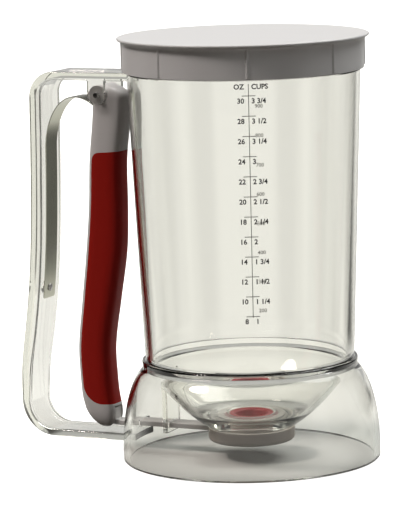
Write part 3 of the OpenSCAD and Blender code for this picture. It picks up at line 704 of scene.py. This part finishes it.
def makeRivet():
    face = legReach(rivet["z"]) - rivet["springOff"] - spring["thick"] / 2 - rivet["headGap"]
    back = legReach(rivet["z"]) - handle["web"] - rivet["sink"]
    at, z, reach = cupX - face * mm, rivet["z"] * mm, 2 * rivet["headR"] * mm
    middle = (cupX - (face + back) / 2 * mm, 0, z)
    shank = roundBar("springRivet", middle, rivet["shankR"], back - face, "x", 40)
    bpy.ops.object.select_all(action="DESELECT")
    bpy.ops.mesh.primitive_uv_sphere_add(segments=40, ring_count=24, radius=rivet["headR"] * mm,
                                         location=(at, 0, z), rotation=(0, math.pi / 2, 0),
                                         scale=(1, 1, rivet["headFlat"]))
    head = bpy.context.object
    bpy.ops.object.transform_apply(location=True, rotation=True, scale=True)
    # only the half of the ball on the spring's side stays
    combine(head, block("rivetCut", (at - reach, -reach, z - reach), (at, reach, z + reach)), "DIFFERENCE")
    combine(shank, head, "UNION")
    smoothFaces(shank, 40)
    return shank


def makePin(name, at, z, radius, length):
    pin = roundBar(name, (cupX - at * mm, 0, z * mm), radius, length, "y", 40)
    softenEdges(pin, pivot["pinEdge"], 50, 3)
    smoothFaces(pin, 40)
    return pin


gate = {"low": 10.75, "thick": 2.1, "tipR": 8.5, "tongue": 8.0, "taper": 4.0, "barW": 9.0, "neckAt": 63.5,
        "eyeW": 6.2, "eyeL": 5.6, "eyeH": 7.3, "slotR": 1.6, "slotRise": 0.9, "edge": 0.25}
seal = {"low": 13.02, "r": 12.1, "holeR": 7.0, "top": 16.58, "edge": 0.5, "holeEdge": 0.4, "collarR": 9.8,
        "collarTop": 19.6, "lip": 1.2, "lipDrop": 0.1}
carrier = {"r": 15.3, "inR": 12.12, "low": 13.02, "top": 16.58, "edge": 0.3}
collar = {"r": 10.6, "inR": 9.83, "low": 16.6, "top": 19.5, "edge": 0.2}
valveCap = {"r": 19.2, "inR": 17.9, "low": 7.5, "top": 13.4, "floorTop": 10.6, "holeR": 7.0, "edge": 2.0,
            "rimEdge": 0.3, "floorEdge": 0.5, "holeEdge": 0.4, "tabR": 16.9, "tabLow": 12.3, "tabHalf": 14,
            "tabRoot": 0.4, "tabDrop": 0.05, "notchFrom": 118.6, "notchTo": 211.4}


def makeGate():
    half, bar, eye = gate["tipR"], gate["barW"] / 2, gate["eyeW"] / 2
    tongue, neckAt, linkAt = gate["tongue"], gate["neckAt"], lever["linkAt"]
    taper = tongue + gate["taper"]
    side = [(tongue, half), (taper, bar), (neckAt, bar), (neckAt, eye), (linkAt, eye)]
    outline = arc((0, 0), half, -90, -270, 36) + side + [(h, -y) for h, y in reversed(side)]
    piece = floorPlate("gatePlate", outline, gate["low"], gate["low"] + gate["thick"])
    back, front = linkAt + gate["eyeL"] / 2, linkAt - gate["eyeL"] / 2
    lug = block("gateEye", (cupX - back * mm, -eye * mm, gate["low"] * mm),
                (cupX - front * mm, eye * mm, (gate["low"] + gate["eyeH"]) * mm))
    combine(piece, lug, "UNION")
    softenEdges(piece, gate["edge"], 40, 2)
    slot = (arc((linkAt, lever["linkZ"] + gate["slotRise"]), gate["slotR"], 0, 180, 14)
            + arc((linkAt, lever["linkZ"]), gate["slotR"], 180, 360, 14))
    combine(piece, sidePlate("linkSlot", slot, 12), "DIFFERENCE")
    smoothFaces(piece, 35)
    return piece


def makeSeal():
    low, top, e, holeEdge = seal["low"], seal["top"], seal["edge"], seal["holeEdge"]
    collarTop, lip = seal["collarTop"], seal["lip"]
    profile = (arc((seal["r"] - e, low + e), e, -90, 0, 4) + arc((seal["r"] - e, top - e), e, 0, 90, 4)
               + [(seal["collarR"], top), (seal["collarR"], collarTop - e)]
               + arc((seal["collarR"] - e, collarTop - e), e, 0, 90, 4)[1:]
               + arc((seal["holeR"] + lip, collarTop - lip - seal["lipDrop"]), lip, 70, 180, 7)
               + arc((seal["holeR"] + holeEdge, low + holeEdge), holeEdge, 180, 270, 4))
    piece = turnPiece("sealRing", profile, 96)
    smoothFaces(piece, 40)
    return piece


def turnRing(name, size):
    # a ring of square section with rounded edges
    e = size["edge"]
    corners = (((size["r"] - e, size["low"] + e), -90), ((size["r"] - e, size["top"] - e), 0),
               ((size["inR"] + e, size["top"] - e), 90), ((size["inR"] + e, size["low"] + e), 180))
    profile = []
    for middle, start in corners:
        profile += arc(middle, e, start, start + 90, 3)
    piece = turnPiece(name, profile, 96)
    smoothFaces(piece, 40)
    return piece


def makeCap():
    c = valveCap
    edge, rim, hole, floor = c["edge"], c["rimEdge"], c["holeEdge"], c["floorEdge"]
    profile = ([(c["holeR"] + hole, c["low"]), (c["r"] - edge, c["low"])]
               + arc((c["r"] - edge, c["low"] + edge), edge, -90, 0, 8)[1:]
               + arc((c["r"] - rim, c["top"] - rim), rim, 0, 90, 3)
               + arc((c["inR"] + rim, c["top"] - rim), rim, 90, 180, 3)
               + [(c["inR"], c["floorTop"] + floor), (c["inR"] - floor, c["floorTop"]),
                  (c["holeR"] + hole, c["floorTop"]), (c["holeR"], c["floorTop"] - hole),
                  (c["holeR"], c["low"] + hole)])
    piece = turnPiece("valveCapShell", profile, 120)
    for side in (90, -90):
        outer = arc((0, 0), c["inR"] + c["tabRoot"], side - c["tabHalf"], side + c["tabHalf"], 10)
        inner = arc((0, 0), c["tabR"], side + c["tabHalf"], side - c["tabHalf"], 10)
        combine(piece, floorPlate("capTab", outer + inner, c["tabLow"], c["top"] - c["tabDrop"]), "UNION")
    # the notch spans the side that the gate comes in from; the outline's first number points to the handle
    reach = c["r"] + 3
    turns = [math.radians(c["notchFrom"] + (c["notchTo"] - c["notchFrom"]) * i / 24) for i in range(25)]
    notch = [(0, 0)] + [(-reach * math.cos(a), reach * math.sin(a)) for a in turns]
    combine(piece, floorPlate("capNotch", notch, c["floorTop"], c["top"] + 2), "DIFFERENCE")
    smoothFaces(piece, 40)
    return piece


# turn in degrees, the rest in millimetres
scale = {"turn": 27.0, "lowMark": 70.4, "step": 8.62, "lineTop": 170.3, "lineLow": 69.9,
         "lineWide": 0.3, "lineParts": 24, "tickHalf": 2.9, "tickWide": 0.32, "numberDrop": 2.25,
         "numberSize": 3.0, "left": -1.9, "right": 1.2, "headSize": 3.0, "headZ": 169.0, "lift": 0.03,
         "thick": 0.03, "bold": 0.09}
ounces = range(8, 31, 2)
cupShares = ["1", "1 1/4", "1 1/2", "1 3/4", "2", "2 1/4", "2 1/2", "2 3/4", "3", "3 1/4", "3 1/2", "3 3/4"]
paleScale = {"high": 160.8, "step": 12.56, "size": 2.3, "at": 2.5, "bold": 0.03,
             "numbers": range(900, 199, -100)}


def cupRadius(z):
    return cup["footR"] + (cup["topR"] - cup["footR"]) * (z - cup["footZ"]) / (cup["topZ"] - cup["footZ"])


def wrapOnCup(piece):
    # flat mesh in millimetres, x round the cup and y up, is laid on its outer face
    for point in piece.data.vertices:
        x, z, lift = point.co.x, point.co.y, point.co.z
        r = cupRadius(z) + scale["lift"] + lift
        turn = math.radians(scale["turn"]) + x / cupRadius(z)
        point.co = (cupX + r * math.sin(turn) * mm, -r * math.cos(turn) * mm, z * mm)


def printText(words, x, z, size, align, bold):
    bpy.ops.object.select_all(action="DESELECT")
    bpy.ops.object.text_add(location=(0, 0, 0))
    text = bpy.context.object
    text.data.body = words
    text.data.size = size
    text.data.align_x = align
    text.data.align_y = "CENTER"
    text.data.offset = bold
    text.data.resolution_u = 3
    text.data.extrude = scale["thick"] / 2
    bpy.ops.object.convert(target="MESH")
    text = bpy.context.object
    for point in text.data.vertices:
        point.co.x += x
        point.co.y += z
    return text


def printBar(x0, x1, z0, z1):
    bpy.ops.object.select_all(action="DESELECT")
    bpy.ops.mesh.primitive_cube_add(size=1, location=((x0 + x1) / 2, (z0 + z1) / 2, 0),
                                    scale=(x1 - x0, z1 - z0, scale["thick"]))
    bar = bpy.context.object
    bpy.ops.object.transform_apply(location=True, rotation=True, scale=True)
    return bar


def joinPrint(name, pieces):
    bpy.ops.object.select_all(action="DESELECT")
    for piece in pieces:
        piece.select_set(True)
    bpy.context.view_layer.objects.active = pieces[0]
    bpy.ops.object.join()
    whole = bpy.context.object
    whole.name = whole.data.name = name
    wrapOnCup(whole)
    return whole


def makeScale():
    s = scale
    words, lines, pale = [], [], []
    for x, head, align in ((s["left"], "OZ", "RIGHT"), (s["right"], "CUPS", "LEFT")):
        words.append(printText(head, x, s["headZ"], s["headSize"], align, s["bold"]))
    half = s["tickWide"] / 2
    for i, (ounce, share) in enumerate(zip(ounces, cupShares)):
        z = s["lowMark"] + s["step"] * i
        lines.append(printBar(-s["tickHalf"], s["tickHalf"], z - half, z + half))
        z -= s["numberDrop"]
        words.append(printText(str(ounce), s["left"], z, s["numberSize"], "RIGHT", s["bold"]))
        words.append(printText(share, s["right"], z, s["numberSize"], "LEFT", s["bold"]))
    # the long line is cut into short bars, so that it follows the cup
    half, count = s["lineWide"] / 2, s["lineParts"]
    heights = [s["lineLow"] + (s["lineTop"] - s["lineLow"]) * i / count for i in range(count + 1)]
    for low, high in zip(heights, heights[1:]):
        lines.append(printBar(-half, half, low, high))
    for i, number in enumerate(paleScale["numbers"]):
        z = paleScale["high"] - paleScale["step"] * i
        pale.append(printText(str(number), paleScale["at"], z, paleScale["size"], "LEFT", paleScale["bold"]))
    return joinPrint("scaleNumbers", words), joinPrint("scaleLines", lines), joinPrint("scalePale", pale)


studio = {"floorR": 6.0, "floorZ": -0.0002, "floorColour": (0.86, 0.88, 0.84),
          "floorDim": (0.07, 0.06, 0.055), "floorGlow": 0.72, "cardTurn": 114.8, "cardNear": 0.2,
          "cardFar": 0.3, "cardDark": 0.14, "cardPale": 0.9, "cardFrom": -0.9, "cardTo": -0.35,
          "sideFrom": -0.97, "sideTo": -0.8, "wallTop": (0.15, 0.45), "wallPale": 0.5,
          "roomDim": (0.03, 0.028, 0.025)}
# soft lights of the room: turn and height in degrees, cosines where each starts and is full, colour, strength
roomLights = [(0, 90, 0.68, 0.86, (1, 1, 1), 0.6),
              (62, 57, 0.925, 0.955, (1, 1, 1), 4.3),
              (12, 15, 0.75, 0.95, (1, 0.97, 0.96), 0.35),
              (-140, 51, 0.989, 0.993, (1, 0.9, 0.87), 27.0)]


def cardShade(tree, x, y):
    # seen in clear plastic and metal, dark cards stand far out between four bright sides
    s = studio
    turn = reckon(tree, "SUBTRACT", reckon(tree, "ARCTAN2", y, x), math.radians(s["cardTurn"]))
    wave = reckon(tree, "COSINE", reckon(tree, "MULTIPLY", turn, 4.0))
    corners = easedRange(tree, wave, s["cardFrom"], s["cardTo"], s["cardDark"], s["cardPale"])
    wave = reckon(tree, "COSINE", reckon(tree, "MULTIPLY", turn, 2.0))
    sides = easedRange(tree, wave, s["sideFrom"], s["sideTo"], s["cardDark"], 1.0)
    return reckon(tree, "MULTIPLY", corners, sides)


def farFloorShade(tree):
    # the floor under the object stays plain
    place = linkNode(tree, "TexCoord", give="Object")
    split = linkNode(tree, "SeparateXYZ", (place,)).node
    x, y = reckon(tree, "SUBTRACT", split.outputs["X"], cupX), split.outputs["Y"]
    squares = reckon(tree, "ADD", reckon(tree, "MULTIPLY", x, x), reckon(tree, "MULTIPLY", y, y))
    far = easedRange(tree, reckon(tree, "SQRT", squares), studio["cardNear"], studio["cardFar"])
    cards = cardShade(tree, x, y)
    return reckon(tree, "ADD", reckon(tree, "MULTIPLY", far, reckon(tree, "SUBTRACT", cards, 1.0)), 1.0)


def makeFloor():
    bpy.ops.object.select_all(action="DESELECT")
    bpy.ops.mesh.primitive_circle_add(vertices=96, radius=studio["floorR"], fill_type="NGON",
                                      location=(cupX, 0, studio["floorZ"]))
    floor = bpy.context.object
    floor.name = floor.data.name = "paleFloor"
    bpy.ops.object.transform_apply(location=True, rotation=True, scale=True)
    material = newMaterial("paleFloor", Roughness=1.0, Specular_IOR_Level=0.0)
    tree = material.node_tree
    shader = tree.nodes["Principled BSDF"]
    path = linkNode(tree, "LightPath").node
    pale, dim = (*studio["floorColour"], 1), (*studio["floorDim"], 1)
    carded = linkNode(tree, "MixRGB", (1.0, pale, farFloorShade(tree)), blend_type="MULTIPLY")
    bounced = linkNode(tree, "MixRGB", (path.outputs["Is Diffuse Ray"], carded, dim))
    seen = linkNode(tree, "MixRGB", (path.outputs["Is Camera Ray"], bounced, pale))
    tree.links.new(seen, shader.inputs["Base Color"])
    glow = linkNode(tree, "Emission", Strength=studio["floorGlow"])
    white = linkNode(tree, "AddShader", (shader.outputs["BSDF"], glow))
    whole = linkNode(tree, "MixShader", (path.outputs["Is Camera Ray"], shader.outputs["BSDF"], white))
    tree.links.new(whole, tree.nodes["Material Output"].inputs["Surface"])
    floor.data.materials.append(material)


def makeWorld():
    world = bpy.data.worlds.new("studio")
    bpy.context.scene.world = world
    world.use_nodes = True
    tree = world.node_tree
    room = tree.nodes["Background"]
    place = linkNode(tree, "TexCoord", give="Generated")
    path = linkNode(tree, "LightPath").node
    total = linkNode(tree, "CombineXYZ", studio["roomDim"])
    for turn, height, start, full, colour, strength in roomLights:
        turn, height = math.radians(turn), math.radians(height)
        way = (math.cos(turn) * math.cos(height), math.sin(turn) * math.cos(height), math.sin(height))
        toward = linkNode(tree, "VectorMath", (place, way), "Value", operation="DOT_PRODUCT")
        share = easedRange(tree, toward, start, full, 0.0, strength)
        light = linkNode(tree, "VectorMath", (colour,), operation="SCALE", Scale=share)
        total = linkNode(tree, "VectorMath", (total, light), operation="ADD")
    # pale walls, seen by metal and clear plastic only
    split = linkNode(tree, "SeparateXYZ", (place,)).node
    low = easedRange(tree, split.outputs["Z"], *studio["wallTop"], studio["wallPale"], 0.0)
    wall = reckon(tree, "MULTIPLY", low, cardShade(tree, split.outputs["X"], split.outputs["Y"]))
    mirrored = reckon(tree, "MAXIMUM", path.outputs["Is Glossy Ray"], path.outputs["Is Transmission Ray"])
    shine = reckon(tree, "MULTIPLY", wall, mirrored)
    walls = linkNode(tree, "VectorMath", ((1, 1, 1),), operation="SCALE", Scale=shine)
    total = linkNode(tree, "VectorMath", (total, walls), operation="ADD")
    tree.links.new(total, room.inputs["Color"])
    white = linkNode(tree, "Background", Color=(1, 1, 1, 1), Strength=1.0)
    whole = linkNode(tree, "MixShader", (path.outputs["Is Camera Ray"], room.outputs["Background"], white))
    tree.links.new(whole, tree.nodes["World Output"].inputs["Surface"])


placeCamera()
print("camera placed")
body = makeClearBody()
dress(body, clearPlastic(), "clear_plastic", "jug",
      "cup", "bowl", "outlet_neck", "bar_guide", "base_skirt", "handle")
print("clear body done", len(body.data.polygons))
lidPiece = makeLid()
dress(lidPiece, solidFinish("lidWhite"), "lid_white", "lid", "lid")
print("lid done", len(lidPiece.data.polygons))
corePiece, gripPiece = makeLever()
dress(corePiece, solidFinish("leverWhite"), "lever_white", "lever", "lever_core")
dress(gripPiece, solidFinish("redGrip"), "red_soft_grip", "lever", "lever_grip")
print("lever done", len(corePiece.data.polygons), len(gripPiece.data.polygons))

steel = solidFinish("turnedSteel")
springPiece = makeSpring()
springPiece.data.materials.append(solidFinish("steelStrip"))
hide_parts("leaf_spring")
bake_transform(springPiece)
dress(makeRivet(), steel, "pin_steel", "jug", "spring_rivet")
pivotPin = makePin("pivotPin", pivot["at"], pivot["z"], pivot["pinR"], pivot["pinLong"])
dress(pivotPin, steel, "pin_steel", "jug", "pivot_pin")
linkPin = makePin("linkPin", lever["linkAt"], lever["linkZ"], lever["linkR"], lever["linkLong"])
dress(linkPin, steel, "pin_steel", "lever", "link_pin")
print("spring and pins done")

dress(makeGate(), solidFinish("gateWhite"), "gate_plastic", "gate", "gate")
dress(makeSeal(), solidFinish("redSilicone"), "red_silicone", "jug", "outlet_seal")
capWhiteAndPaintedBounce = solidFinish("capWhiteAndPaintedBounce")
dress(turnRing("sealCarrier", carrier), capWhiteAndPaintedBounce, "cap_white", "jug", "seal_carrier")
dress(turnRing("sealCollar", collar), capWhiteAndPaintedBounce, "cap_white", "jug")
dress(makeCap(), capWhiteAndPaintedBounce, "cap_white", "valve_cap", "valve_cap")
print("valve done")
for piece, ink in zip(makeScale(), ("printInk", "printGrey", "printPale")):
    dress(piece, solidFinish(ink), "clear_plastic", "jug")
print("scale done")

makeFloor()
makeWorld()
print("studio done")
bpy.context.scene.view_settings.view_transform = "Standard"
